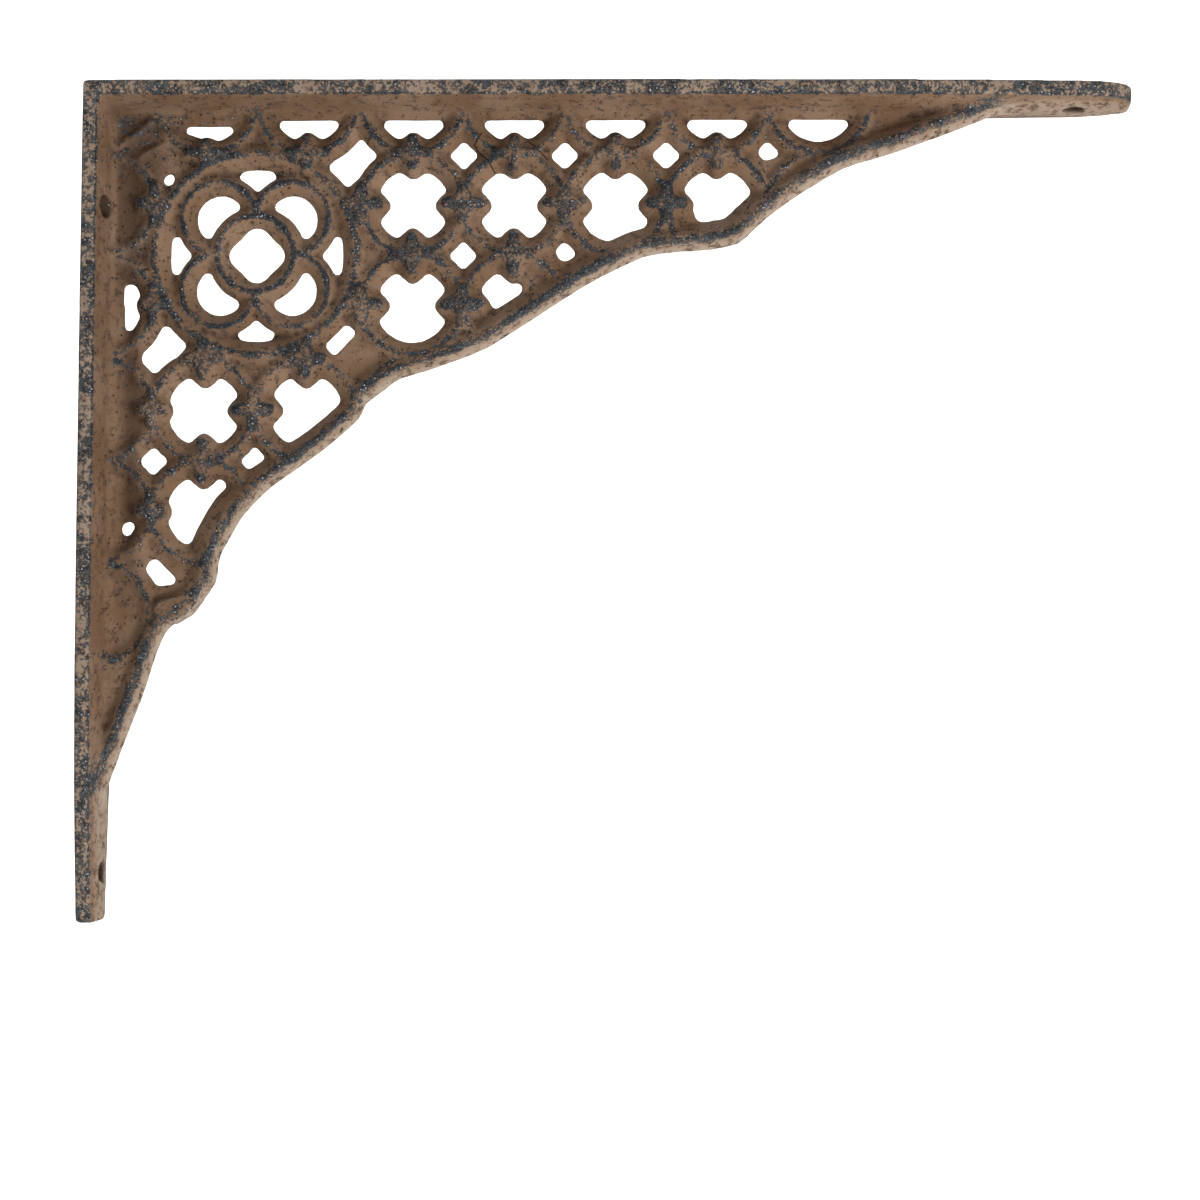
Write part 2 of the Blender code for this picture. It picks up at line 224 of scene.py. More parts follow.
class Founder:
    """Makes closed bodies for the casting and gathers them in one bmesh."""

    def __init__(self) -> None:
        """Start with an empty mould."""
        self.bm = bmesh.new()

    def keep(self, body: Shape) -> None:
        """Add a finished body to the mould."""
        mesh = mesh_of(body, "body")
        self.bm.from_mesh(mesh)
        bpy.data.meshes.remove(mesh)

    def spun(self, centre: Pair, radius: float, section: Section, steps: int,
             start: float = 0.0, sweep: float = math.tau, lobing: float = 0.0) -> None:
        """Rib along a circle or a part of one.

        Args:
            centre: Reach and drop of the circle's centre.
            radius: Radius of the crest line.
            section: The rib's section.
            steps: Number of steps.
            start: Angle at which it starts, from the reach towards the drop.
            sweep: Angle that it covers.
            lobing: How far the inner side comes in on the diagonals, which makes a round opening four-sided.
        """
        body = bmesh.new()
        middle = place(*centre)
        crest = max(across for _, across in section) * MM
        verts = []
        for offset, across in section:
            away = radius + offset
            spot = place(centre[0] + away * math.cos(start), centre[1] + away * math.sin(start), across)
            verts.append(body.verts.new(spot))
        edges = [body.edges.new(pair) for pair in zip(verts, verts[1:] + verts[:1])]
        whole = abs(sweep - math.tau) < TINY
        made = bmesh.ops.spin(body, geom=verts + edges, cent=middle, axis=(0.0, 1.0, 0.0), angle=sweep,
                              steps=steps, use_merge=whole)
        if not whole:
            last = [item for item in made["geom_last"] if isinstance(item, bmesh.types.BMEdge)]
            for loop in (edges, last):
                bmesh.ops.edgeloop_fill(body, edges=loop)
        for vert in body.verts if lobing else ():
            arm = Vector((vert.co.x - middle.x, 0.0, vert.co.z - middle.z))
            if arm.length < radius * MM:
                diagonal = math.sin(2.0 * math.atan2(arm.z, arm.x)) ** 2
                low = 1.0 - abs(vert.co.y) / crest
                vert.co -= arm.normalized() * lobing * diagonal * low * MM
        self.keep(body)

    def swept(self, stations: Sequence[Sequence[Vector]]) -> None:
        """Body through sections that follow one another.

        Args:
            stations: The sections, each with the same number of points.
        """
        body = bmesh.new()
        top = body.faces.new([body.verts.new(point) for point in stations[0]])
        for step, (before, after) in enumerate(zip(stations, stations[1:])):
            made = bmesh.ops.extrude_face_region(body, geom=[top])["geom"]
            if step:
                bmesh.ops.delete(body, geom=[top], context="FACES_ONLY")
            top = next(item for item in made if isinstance(item, bmesh.types.BMFace))
            for vert in top.verts:
                nearest = min(range(len(before)), key=lambda index: (vert.co - before[index]).length_squared)
                vert.co = after[nearest]
        self.keep(body)

    def ridge(self, line: Sequence[Pair], rib: Rib) -> None:
        """Rib along a broken line.

        Args:
            line: Reach and drop of the crest's corners.
            rib: The rib.
        """
        spots = [Vector(point) for point in line]
        self.swept([[place(*(spot + aside * offset), across) for offset, across in rib.section()]
                    for spot, aside in zip(spots, sideways(spots))])

    def pour(self, name: str) -> Thing:
        """Turn the bodies into one object, linked to the scene."""
        bmesh.ops.recalc_face_normals(self.bm, faces=self.bm.faces)
        return show(name, mesh_of(self.bm, name))


@dataclass(frozen=True)
class Rim:
    """Sloping rim: a tall rounded ridge, steep on its outer side, from the shelf arm round to the wall arm."""

    outer_run: float = 1.9
    crest_run: float = 0.3
    cover: float = 1.1
    web_inset: float = 2.3
    web_cover: float = 1.8
    curve_steps: int = 3
    curve_share: float = 0.6
    crest_band: float = 1.25
    crest_rise: Pair = (2.3, 3.3)
    # Band and fall of the painted light on the rim's outer face, which faces the key light
    side_band: float = 1.5
    side_fall: Pair = (4.1, 3.3)
    # Painted light on the tips' undersides: between which places along the arms it starts, how deep these undersides
    # lie and how pale they get
    shelf_tip: Pair = (204.0, 228.0)
    wall_tip: Pair = (152.0, 176.0)
    underside: Pair = (3.7, 4.3)
    tip_painted_light: float = 0.62
    # Reach, drop, height of the crest and run of the inner slope
    edge: Rows = (
        (222.0, 2.6, 4.2, 4.9), (212.3, 7.2, 4.8, 4.9), (191.9, 14.8, 5.0, 4.9), (179.7, 18.6, 5.0, 4.9),
        (167.4, 26.1, 5.0, 4.9), (160.9, 31.1, 5.0, 4.9), (154.9, 36.6, 5.0, 4.9), (148.2, 38.1, 4.9, 4.9),
        (139.6, 38.8, 4.8, 4.9), (131.7, 40.0, 4.7, 4.9), (117.3, 47.4, 4.5, 4.9), (95.4, 61.6, 4.0, 4.9),
        (82.0, 66.9, 3.5, 4.6), (74.3, 69.3, 3.4, 4.6), (67.1, 73.6, 3.6, 4.6), (64.2, 79.1, 4.0, 4.0),
        (55.1, 87.0, 4.3, 4.0), (42.8, 95.9, 4.2, 4.6), (36.7, 102.6, 4.0, 6.0), (31.7, 111.5, 3.9, 5.8),
        (30.8, 117.7, 4.0, 5.0), (26.9, 123.5, 4.2, 4.9), (19.6, 129.0, 4.4, 4.9), (17.1, 133.8, 4.5, 4.9),
        (13.7, 144.6, 4.6, 4.9), (9.0, 157.1, 4.6, 4.9), (3.6, 172.0, 4.2, 4.9),
    )
    # Share of the run and of the crest's height: up the outer face, then down the long inner slope
    outer_face: Outline = ((0.0, 0.0), (0.45, 0.35), (0.80, 0.72), (1.0, 0.93))
    inner_slope: Outline = ((0.0, 1.0), (0.16, 0.96), (0.36, 0.80), (0.62, 0.50), (0.84, 0.22), (1.0, 0.0))

    def path(self) -> list[tuple[float, float, float, float]]:
        """Outer edge with points added on a smooth curve between the measured ones.

        Returns:
            Reach, drop, crest height and inner run at each point.
        """
        known = [np.array(point) for point in self.edge]
        known = [2 * known[0] - known[1]] + known + [2 * known[-1] - known[-2]]
        points = []
        for before, start, end, after in zip(known, known[1:], known[2:], known[3:]):
            for step in range(self.curve_steps):
                share = step / self.curve_steps
                curve = 0.5 * (
                    2 * start + (end - before) * share
                    + (2 * before - 5 * start + 4 * end - after) * share**2
                    + (3 * start - before - 3 * end + after) * share**3
                )
                flat = start + (end - start) * share
                points.append(tuple(self.curve_share * curve + (1.0 - self.curve_share) * flat))
        points.append(tuple(known[-2]))
        return points

    def inset(self, depth: float, share: float = 0.0) -> list[Pair]:
        """The rim's line at a depth inside its outer edge.

        Args:
            depth: The depth, mm.
            share: Share of the inner slope's run to add to it.

        Returns:
            Reach and drop along it, kept off the outer faces of the straps.
        """
        path = self.path()
        spots = [Vector(point[:2]) for point in path]
        moved = [spot + aside * (depth + point[3] * share) for spot, aside, point in zip(spots, sideways(spots), path)]
        return [(max(spot.x, self.cover), max(spot.y, self.cover)) for spot in moved]

    def build(self, founder: Founder) -> None:
        """Sweep the rim.

        Args:
            founder: Takes the body.
        """
        section = [(self.inset(self.outer_run * run), rise) for run, rise in self.outer_face]
        section += [(self.inset(self.outer_run + self.crest_run, run), rise) for run, rise in self.inner_slope]
        stations = []
        for index, point in enumerate(self.path()):
            front = [place(*line[index], -rise * point[2]) for line, rise in section]
            back = [place(*line[index], rise * point[2]) for line, rise in section if rise > 0.0]
            stations.append(front + back[::-1])
        founder.swept(stations)

    def keep_inside(self, bm: Shape) -> None:
        """Move ribs of the web that are past the rim's crest, or out of the straps, inside them.

        Args:
            bm: The ribs.
        """
        verts = list(bm.verts)
        spots = np.array([(vert.co.x / MM, ORIGIN_DROP - vert.co.z / MM) for vert in verts])
        spots = np.maximum(spots, self.web_cover)
        _, places, side = nearest_on_path(spots, self.inset(self.web_inset))
        spots = np.where((side < 0.0)[:, None], np.maximum(places, self.web_cover), spots)
        for vert, spot in zip(verts, spots):
            vert.co.x = spot[0] * MM
            vert.co.z = (ORIGIN_DROP - spot[1]) * MM

    def rub(self, skin: Skin) -> Array:
        """How rubbed the rim is, 0 to 1 for each vertex."""
        crest = self.inset(self.outer_run + self.crest_run)
        return near(skin.to_path(crest), self.crest_band) * skin.above(*self.crest_rise)

    def dust_and_painted_light(self, skin: Skin) -> Array:
        """Painted light: how pale the lit outer face of the rim and the undersides of the two tips are.

        Args:
            skin: The vertices.

        Returns:
            0 to 1 for each vertex.
        """
        edge = [point[:2] for point in self.path()]
        side = near(skin.to_path(edge), self.side_band) * skin.above(*self.side_fall)
        reach, drop = skin.plane.T
        tips = np.maximum(smooth_rise(reach, *self.shelf_tip), smooth_rise(drop, *self.wall_tip))
        return np.maximum(side, self.tip_painted_light * tips * smooth_rise(np.minimum(reach, drop), *self.underside))


@dataclass(frozen=True)
class Lattice:
    """Circles round the four-lobed openings, with a pointed cross on each place where two circles meet."""

    pitch: float = 24.25
    rosette_inset: float = 39.5
    field_shift: float = 1.0
    radius: float = 12.1
    rib: Rib = Rib(3.5, 2.7, 2.45)
    steps: int = 72
    cell_rows: dict[float, tuple[float, ...]] = field(default_factory=lambda: {
        -1.5: (-0.5, 0.5, 1.5, 2.5, 3.5, 4.5, 5.5),
        -0.5: (-1.5, 1.5, 2.5, 3.5, 4.5, 5.5),
        0.5: (-1.5, 1.5, 2.5),
        1.5: (-1.5, -0.5, 0.5, 1.5),
        2.5: (-1.5, -0.5),
        3.5: (-1.5,),
    })
    boss_rows: dict[float, tuple[float, ...]] = field(default_factory=lambda: {
        -1.0: (-0.5, 0.5, 1.5, 2.5, 3.5, 4.5),
        -0.5: (-1.0, 1.0, 2.0, 3.0, 4.0),
        0.0: (1.5, 2.5),
        0.5: (-1.0, 1.0, 2.0),
        1.0: (-0.5, 0.5),
        1.5: (-1.0, 0.0),
        2.0: (-0.5,),
        2.5: (-1.0,),
    })
    # Levels of a boss: height, length of an arm, half its width at the tip, reach of its waist
    boss_levels: Rows = (
        (0.0, 6.9, 1.9, 3.8), (1.4, 6.4, 1.6, 3.0), (2.6, 5.8, 1.3, 2.1), (3.5, 5.0, 1.05, 1.5), (4.1, 4.0, 0.6, 0.9),
    )
    boss_radius: float = 6.6
    # Shares of a full arm: beside the wall arm up to row 0 and below, under the shelf arm from column 0 and before
    wall_arms: Pair = (0.80, 0.68)
    shelf_arms: Pair = (0.84, 0.66)
    # How worn the crests are, and the bosses in their middle and out on their arms
    crest_worn: float = 0.82
    boss_worn: Pair = (0.58, 0.86)

    def node(self, column: float, row: float) -> Pair:
        """Reach and drop of a place of the lattice, counted from the middle of the rosette."""
        reach = self.rosette_inset + column * self.pitch + (self.field_shift if column >= 1 else 0.0)
        drop = self.rosette_inset + row * self.pitch + (self.field_shift if row >= 1 else 0.0)
        return reach, drop

    def cells(self) -> list[Pair]:
        """Centres of the circles."""
        return [self.node(column, row) for row, columns in self.cell_rows.items() for column in columns]

    def bosses(self) -> list[tuple[Pair, Pair]]:
        """Centre of each boss, and how long its arms are along the reach and the drop as shares of a full one."""
        found = []
        for row, columns in self.boss_rows.items():
            for column in columns:
                along_reach = self.wall_arms[row > 0] if column == -1 else 1.0
                along_drop = self.shelf_arms[column < 0] if row == -1 else 1.0
                found.append((self.node(column, row), (along_reach, along_drop)))
        return found

    def cross(self, centre: Pair, shares: Pair, level: Sequence[float], side: int) -> list[Vector]:
        """Outline of a boss at one level.

        Args:
            centre: Reach and drop of its middle.
            shares: How long its arms are along the reach and the drop.
            level: Height, arm, half tip and waist.
            side: -1 for the front and 1 for the back.

        Returns:
            Thirty-two points.
        """
        height, arm, tip, waist = level
        half = [((arm + waist) * 0.5, (tip + waist) * 0.46), (arm - tip * 0.55, tip), (arm - tip * 0.12, tip * 0.5)]
        outline = [(forward, -aside) for forward, aside in half] + [(arm, 0.0)] + half[::-1] + [(waist, waist)]
        points = []
        for quarter in range(4):
            angle = quarter * math.pi / 2
            along = Vector((math.cos(angle), math.sin(angle)))
            for forward, aside in outline:
                spot = along * forward + Vector((-along.y, along.x)) * aside
                points.append(place(centre[0] + spot.x * shares[0], centre[1] + spot.y * shares[1], side * height))
        return points

    def build(self, founder: Founder) -> None:
        """Spin the circles and raise the bosses."""
        for centre in self.cells():
            founder.spun(centre, self.radius, self.rib.section(), self.steps)
        for centre, shares in self.bosses():
            front = [self.cross(centre, shares, level, -1) for level in reversed(self.boss_levels)]
            back = [self.cross(centre, shares, level, 1) for level in self.boss_levels[1:]]
            founder.swept(front + back)

    def rub(self, skin: Skin) -> Array:
        """How rubbed the circles and bosses are.

        Args:
            skin: The vertices.

        Returns:
            0 to 1 for each vertex.
        """
        crests = [self.rib.rubbed(skin, skin.to_spot(centre) - self.radius) for centre in self.cells()]
        worn = self.crest_worn * np.max(crests, axis=0) * smooth_rise(skin.plane.min(axis=1), 4.6, 6.2)
        top = skin.above(self.rib.crest + 0.2, self.rib.crest + 1.0)
        middle, arms = self.boss_worn
        for centre, _ in self.bosses():
            away = skin.to_spot(centre)
            share = middle + (arms - middle) * smooth_rise(away, 1.2, 3.6)
            worn = np.maximum(worn, (away < self.boss_radius + 0.5) * top * share)
        return worn


@dataclass(frozen=True)
class Rosette:
    """Ring with a hub and four petals in it."""

    centre: Pair = (39.5, 39.5)
    ring_radius: float = 24.25
    ring: Rib = Rib(3.7, 2.9, 3.2)
    hub_radius: float = 9.2
    hub: Rib = Rib(2.7, 2.7, 2.9)
    hub_lobing: float = 1.15
    petal_offset: float = 8.65
    petal_radius: float = 8.9
    petal: Rib = Rib(3.3, 2.0, 2.8)
    petal_sweep: float = math.radians(250.0)
    # Steps in the turn of each
    ring_steps: int = 128
    hub_steps: int = 64
    petal_steps: int = 48

    def petals(self) -> list[tuple[Pair, float]]:
        """Centre of each petal and the angle at which it faces outwards."""
        spots = []
        for quarter in range(4):
            outward = (quarter + 0.5) * math.pi / 2
            away = self.petal_offset * math.sqrt(2.0)
            centre = (self.centre[0] + away * math.cos(outward), self.centre[1] + away * math.sin(outward))
            spots.append((centre, outward))
        return spots

    def build(self, founder: Founder) -> None:
        """Spin the ring, the hub and the petals."""
        founder.spun(self.centre, self.ring_radius, self.ring.section(), self.ring_steps)
        founder.spun(self.centre, self.hub_radius, self.hub.section(), self.hub_steps, lobing=self.hub_lobing)
        for centre, outward in self.petals():
            start = outward - self.petal_sweep / 2
            founder.spun(centre, self.petal_radius, self.petal.section(), self.petal_steps, start, self.petal_sweep)

    def rub(self, skin: Skin) -> Array:
        """How rubbed the rosette's crests are.

        Args:
            skin: The vertices.

        Returns:
            0 to 1 for each vertex.
        """
        away = skin.to_spot(self.centre)
        worn = np.maximum(self.ring.rubbed(skin, away - self.ring_radius, 1.05, 0.05),
                          self.hub.rubbed(skin, away - self.hub_radius))
        for centre, outward in self.petals():
            gap = skin.plane - np.array(centre)
            turn = np.arctan2(gap[:, 1], gap[:, 0]) - outward
            turn = np.abs((turn + math.pi) % math.tau - math.pi)
            petal = self.petal.rubbed(skin, skin.to_spot(centre) - self.petal_radius)
            worn = np.maximum(worn, petal * (turn < self.petal_sweep / 2))
        return worn


@dataclass(frozen=True)
class Panels:
    """Places where the web stays closed between the ribs."""

    half: float = 0.9
    outlines: dict[str, Outline] = field(default_factory=lambda: {
        "corner": ((2.0, 2.0), (19.6, 2.0), (19.6, 18.6), (16.4, 20.6), (2.0, 20.6)),
        "rosette_corner": ((19.3, 8.6), (21.6, 9.6), (25.4, 10.9), (27.6, 12.6), (27.0, 16.5), (20.4, 24.0),
            (19.4, 24.0)),
        "shelf_root": ((18.0, 6.0), (38.0, 6.0), (36.0, 7.9), (33.0, 8.1), (18.0, 8.1)),
        "knee_left": ((11.5, 113.2), (15.2, 109.6), (18.0, 112.0), (16.5, 112.4), (14.8, 112.6), (13.5, 114.6),
            (13.9, 115.4), (12.5, 115.5)),
        "knee_right": ((16.5, 112.4), (21.4, 117.4), (20.6, 118.4), (16.9, 118.9), (15.6, 118.5), (15.0, 121.5),
            (24.5, 121.5), (24.5, 114.5), (18.5, 111.5)),
        "shelf_notch": ((140.5, 28.3), (144.5, 29.3), (144.5, 33.5), (140.5, 33.5)),
        "small_diamond": ((157.5, 14.6), (159.7, 14.0), (159.7, 15.4), (161.1, 16.7), (164.0, 15.6), (165.5, 15.3),
            (166.3, 17.3), (161.8, 19.5)),
        "rosette_top": ((34.2, 2.5), (43.6, 2.5), (43.6, 14.0), (34.2, 14.0)),
        "rosette_right": ((63.4, 35.6), (69.2, 35.2), (69.0, 43.6), (63.6, 43.4)),
        "rosette_foot": ((35.6, 63.4), (43.4, 63.6), (43.6, 69.0), (35.2, 69.2)),
        "rosette_side": ((2.5, 20.0), (14.5, 20.0), (14.5, 46.4), (2.5, 46.4)),
        "wall_upper": ((2.5, 57.6), (12.1, 58.6), (12.1, 103.4), (2.5, 103.9)),
        "wall_lower": ((2.5, 107.2), (11.8, 107.2), (12.2, 113.0), (15.0, 118.6), (23.0, 119.6), (20.0, 124.0),
            (12.0, 133.0), (8.0, 146.0), (4.0, 160.0), (2.5, 160.0)),
        "below_rosette": ((58.6, 63.6), (63.4, 58.5), (69.0, 58.6), (78.0, 64.0), (70.0, 69.0), (63.0, 75.0),
            (58.2, 70.0)),
        "rim_middle": ((104.0, 44.0), (107.5, 41.0), (109.5, 37.4), (111.0, 38.4), (112.0, 40.6), (113.7, 41.0),
            (117.0, 39.0), (118.0, 44.0), (108.0, 51.0), (102.5, 50.5)),
        "shelf_end": ((182.2, 2.5), (213.0, 2.5), (206.0, 6.5), (188.0, 13.5), (182.2, 14.5)),
    })

    def build(self, founder: Founder) -> None:
        """Raise each panel from its outline."""
        for outline in self.outlines.values():
            levels = [[place(reach, drop, across) for reach, drop in outline] for across in (-self.half, self.half)]
            founder.swept(levels)


@dataclass(frozen=True)
class Details:
    """Smaller forms of the web: the pointed arch in the corner, the flat land on the knee and the filled foot."""

    arch: Rib = Rib(2.3, 1.7, 2.2)
    arch_line: Outline = ((5.4, 14.6), (8.2, 11.8), (11.6, 9.4), (15.0, 6.6))
    inner: Rib = Rib(1.8, 1.8, 1.7)
    inner_line: Outline = ((8.2, 18.6), (12.0, 15.4), (16.0, 13.2), (19.5, 12.4))
    land: Outline = ((27.4, 119.6), (21.9, 121.3), (17.5, 122.4), (16.0, 124.6), (17.8, 127.2), (20.5, 128.0),
                     (24.6, 125.7), (27.3, 122.2))
    land_half: float = 3.9
    foot: Outline = ((2.6, 136.0), (8.0, 135.4), (12.4, 133.4), (13.2, 138.0), (10.6, 147.0), (6.0, 160.0),
                     (2.6, 166.0))
    foot_half: float = 2.3
    # Height and share of the outline over which the tops of both slope off
    bevel: float = 0.8
    bevel_share: float = 0.84
    lip_worn: float = 0.9
    ridge_worn: float = 0.6
    # How dark the iron-coloured patches towards the inner corner of the arms get
    corner_darkening: float = 0.4

    def build(self, founder: Founder) -> None:
        """Sweep the ridges and raise the lands."""
        founder.ridge(self.arch_line, self.arch)
        founder.ridge(self.inner_line, self.inner)
        for outline, half in ((self.land, self.land_half), (self.foot, self.foot_half)):
            middle = np.mean(np.array(outline), axis=0)
            levels = []
            low = half - self.bevel
            for across, share in ((-half, self.bevel_share), (-low, 1.0), (low, 1.0), (half, self.bevel_share)):
                spots = [middle + (np.array(point) - middle) * share for point in outline]
                levels.append([place(spot[0], spot[1], across) for spot in spots])
            founder.swept(levels)

    def rub(self, skin: Skin) -> Array:
        """How rubbed the smaller forms are, with iron-dark patches towards the inner corner of the arms.

        Args:
            skin: The vertices.

        Returns:
            0 to 1 for each vertex.
        """
        border = near(skin.to_path(self.land + self.land[:1]), 0.8)
        border *= skin.above(self.land_half - 1.1, self.land_half - 0.5)
        lip = near(skin.to_path(self.foot[:3]), 0.7) * skin.above(1.6, 2.1)
        ridge = near(skin.to_path(self.arch_line), 0.8) * skin.above(1.5, 1.9)
        # Iron-dark patches towards the inner corner of the arms, set by place alone
        corner = smooth_rise(skin.to_spot((-3.0, -3.0)), 34.0, 17.0)
        corner *= smooth_rise(skin.plane.min(axis=1), 5.0, 7.0)
        return np.max([border, lip * self.lip_worn, ridge * self.ridge_worn, corner * self.corner_darkening], axis=0)


@dataclass(frozen=True)
class Cracks:
    """Hairline cracks through the ribs beside two of the upper bosses."""

    half_width: float = 0.13
    depth: float = 0.16
    lines: tuple[Outline, ...] = (
        ((93.3, 10.4), (91.5, 13.0), (92.9, 14.9), (94.5, 16.4), (95.4, 17.7), (96.4, 19.4), (97.4, 20.6)),
        ((104.6, 12.3), (106.9, 14.2), (109.2, 16.6)),
        ((68.2, 9.2), (67.0, 10.6), (65.8, 12.4)),
    )

    def distance(self, points: Array) -> Array:
        """Distance from points to the nearest crack, mm."""
        return np.min([distance_to_path(points, line) for line in self.lines], axis=0)


@dataclass(frozen=True)
class Straps:
    """Both arms in one run: flat outer faces, tapered tips and a fillet towards the web."""

    reach: float = 248.0
    drop: float = 198.0
    half: float = 11.0
    edge: float = 3.4
    root: float = 4.9
    root_across: float = 2.6
    corner_round: float = 0.45
    hole_radius: float = 2.5
    shelf_hole: float = 234.7
    wall_pair_drop: float = 28.9
    wall_pair_across: float = 5.6
    wall_tip_hole: float = 186.5
    # Rods that cut the holes: how many sides they have and how long they are, mm
    rod_sides: int = 40
    rod_length: float = 24.0
    # How rubbed and how dusty the narrow faces are
    face_worn: float = 0.60
    face_dust: float = 0.55
    # Distance along each arm, half its width, and its depth at the edge, at the root and at the mid-plane
    shelf: Rows = (
        (60.0, 11.0, 3.4, 4.9, 6.8), (120.0, 10.8, 3.4, 4.9, 6.8), (186.0, 10.4, 3.4, 4.9, 6.8),
        (216.0, 9.8, 3.4, 4.5, 4.9), (234.0, 9.15, 3.4, 4.5, 4.9), (239.5, 8.7, 3.4, 4.5, 4.9),
        (243.5, 7.7, 3.4, 4.5, 4.9), (246.1, 6.0, 3.4, 4.5, 4.9), (247.5, 4.2, 3.4, 4.5, 4.9),
        (248.0, 2.6, 2.9, 3.7, 3.9),
    )
    wall: Rows = (
        (60.0, 11.0, 3.4, 4.9, 8.2), (110.0, 10.7, 3.4, 4.9, 8.2), (140.0, 10.3, 3.4, 4.9, 8.2),
        (166.0, 9.2, 3.4, 4.5, 4.9), (182.0, 7.8, 3.4, 4.5, 4.9), (196.0, 6.4, 3.4, 4.5, 4.9),
        (197.6, 5.9, 3.4, 4.5, 4.9), (198.0, 5.3, 3.1, 4.0, 4.3),
    )

    def section(self, half: float, edge: float, root: float, fillet: float) -> Section:
        """Section of a strap.

        Args:
            half: Half its width.
            edge: Thickness at its edges.
            root: Thickness beside the web.
            fillet: Depth of the fillet at the mid-plane.

        Returns:
            Pairs of the depth from its outer face and the place across it.
        """
        soft = self.corner_round
        inner = min(self.root_across, 0.45 * half)
        dip = (root - edge) / (half - inner)
        front = [
            (0.0, -half + soft), (soft * 0.3, -half + soft * 0.3), (soft, -half),
            (edge - soft, -half), (edge - soft * 0.3, -half + soft * 0.3), (edge + dip * soft, -half + soft),
            (edge + 0.55 * (root - edge), -(half + inner) / 2),
            (root, -inner), (root + 0.4 * (fillet - root), -inner * 0.52),
        ]
        return front + [(fillet, 0.0)] + [(depth, -across) for depth, across in reversed(front)]

    def stations(self) -> list[list[Vector]]:
        """Sections from the shelf tip round the corner to the wall tip."""
        corner = self.section(*self.shelf[0][1:])
        rows = [[place(run, depth, across) for depth, across in self.section(*sizes)]
                for run, *sizes in reversed(self.shelf)]
        rows.append([place(depth, depth, across) for depth, across in corner])
        return rows + [[place(depth, run, across) for depth, across in self.section(*sizes)]
                       for run, *sizes in self.wall]

    def holes(self) -> list[tuple[Triple, int]]:
        """Reach, drop and across of each screw hole, and along which of them it runs."""
        pair = [((0.0, self.wall_pair_drop, side * self.wall_pair_across), 0) for side in (-1, 1)]
        return [((self.shelf_hole, 0.0, 0.0), 1), ((0.0, self.wall_tip_hole, 0.0), 0)] + pair

    def bored(self, spots: Array) -> Array:
        """Which vertices are on the walls of the screw holes.

        Args:
            spots: Reach, drop and across of each vertex, mm.

        Returns:
            1 inside a hole, 0 away from it.
        """
        inside = np.zeros(len(spots))
        for middle, along in self.holes():
            gap = spots - np.array(middle)
            away = np.hypot(gap[:, 1 - along], gap[:, 2])
            wall = smooth_rise(away, self.hole_radius + 0.55, self.hole_radius + 0.15)
            under = np.minimum(spots[:, along], self.root - spots[:, along])
            inside = np.maximum(inside, wall * smooth_rise(under, -0.9, 0.1))
        return inside

    def cutter(self) -> Thing:
        """Rods that cut the screw holes.

        Returns:
            One object with a rod for each hole.
        """
        founder = Founder()
        radius = self.hole_radius * MM
        for middle, along in self.holes():
            axis = Vector((0.0, 0.0, 1.0)) if along else Vector((1.0, 0.0, 0.0))
            made = bmesh.ops.create_cone(founder.bm, cap_ends=True, segments=self.rod_sides, radius1=radius,
                                         radius2=radius, depth=self.rod_length * MM,
                                         matrix=axis.to_track_quat("Z", "Y").to_matrix().to_4x4())
            bmesh.ops.translate(founder.bm, verts=made["verts"], vec=place(*middle))
        return founder.pour("hole_cutter")

    def half_width(self, skin: Skin) -> Array:
        """Half the strap's width beside each vertex, mm."""
        run = skin.plane.max(axis=1)
        shelf, wall = (np.interp(run, *np.array(rows)[:, :2].T) for rows in (self.shelf, self.wall))
        return np.where(skin.plane[:, 1] <= skin.plane[:, 0], shelf, wall)

    def narrow_face(self, skin: Skin) -> Array:
        """Which vertices are on the narrow front and back faces of the straps, 0 to 1."""
        half = self.half_width(skin)
        return smooth_rise(skin.height, half - 0.7, half - 0.2) * (skin.plane.min(axis=1) < 5.0)

    def rub(self, skin: Skin) -> Array:
        """How rubbed the straps' narrow faces and corners are.

        Args:
            skin: The vertices.

        Returns:
            0 to 1 for each vertex.
        """
        depth = skin.plane.min(axis=1)
        corners = np.maximum(near(depth, 0.55), near(depth - self.edge, 0.5))
        corners *= near(skin.height - self.half_width(skin), 0.8)
        return np.maximum(self.face_worn * self.narrow_face(skin), corners)

    def dust_and_painted_light(self, skin: Skin) -> Array:
        """How pale the straps' narrow faces are, 0 to 1 for each vertex."""
        return self.face_dust * self.narrow_face(skin)


@dataclass(frozen=True)
class IronFinish:
    """Brown finish of the casting, rubbed through to blue-black iron on what stands proud."""

    brown: Colour = (0.112, 0.064, 0.036, 1.0)
    brown_dark: Colour = (0.056, 0.029, 0.015, 1.0)
    brown_pale: Colour = (0.150, 0.094, 0.060, 1.0)
    # Pale colour: real dust on the strap faces, and painted light on the rim's outer face and the tips' undersides
    dust_and_painted_light: Colour = (0.245, 0.196, 0.152, 1.0)
    # Painted shade in recesses, partly patina
    painted_shade_and_patina: Colour = (0.026, 0.013, 0.008, 1.0)
    iron: Colour = (0.006, 0.009, 0.012, 1.0)
    iron_pale: Colour = (0.042, 0.050, 0.056, 1.0)
    # Painted glints: bright flecks laid on the bare iron as colour
    painted_glint: Colour = (0.48, 0.50, 0.52, 1.0)
    crack: Colour = (0.010, 0.007, 0.006, 1.0)
    pit: Colour = (0.008, 0.006, 0.005, 1.0)
    # Cells to a metre of each pattern
    broad_scale: float = 70.0
    patch_scale: float = 120.0
    mottle_scale: float = 520.0
    grain_scale: float = 1500.0
    pit_scale: float = 900.0
    painted_glint_scale: float = 1300.0
    specular: float = 0.13
    bare_metallic: float = 0.15
    roughness: float = 0.76
    bare_smoother: float = -0.22
    grain_rougher: float = 0.12


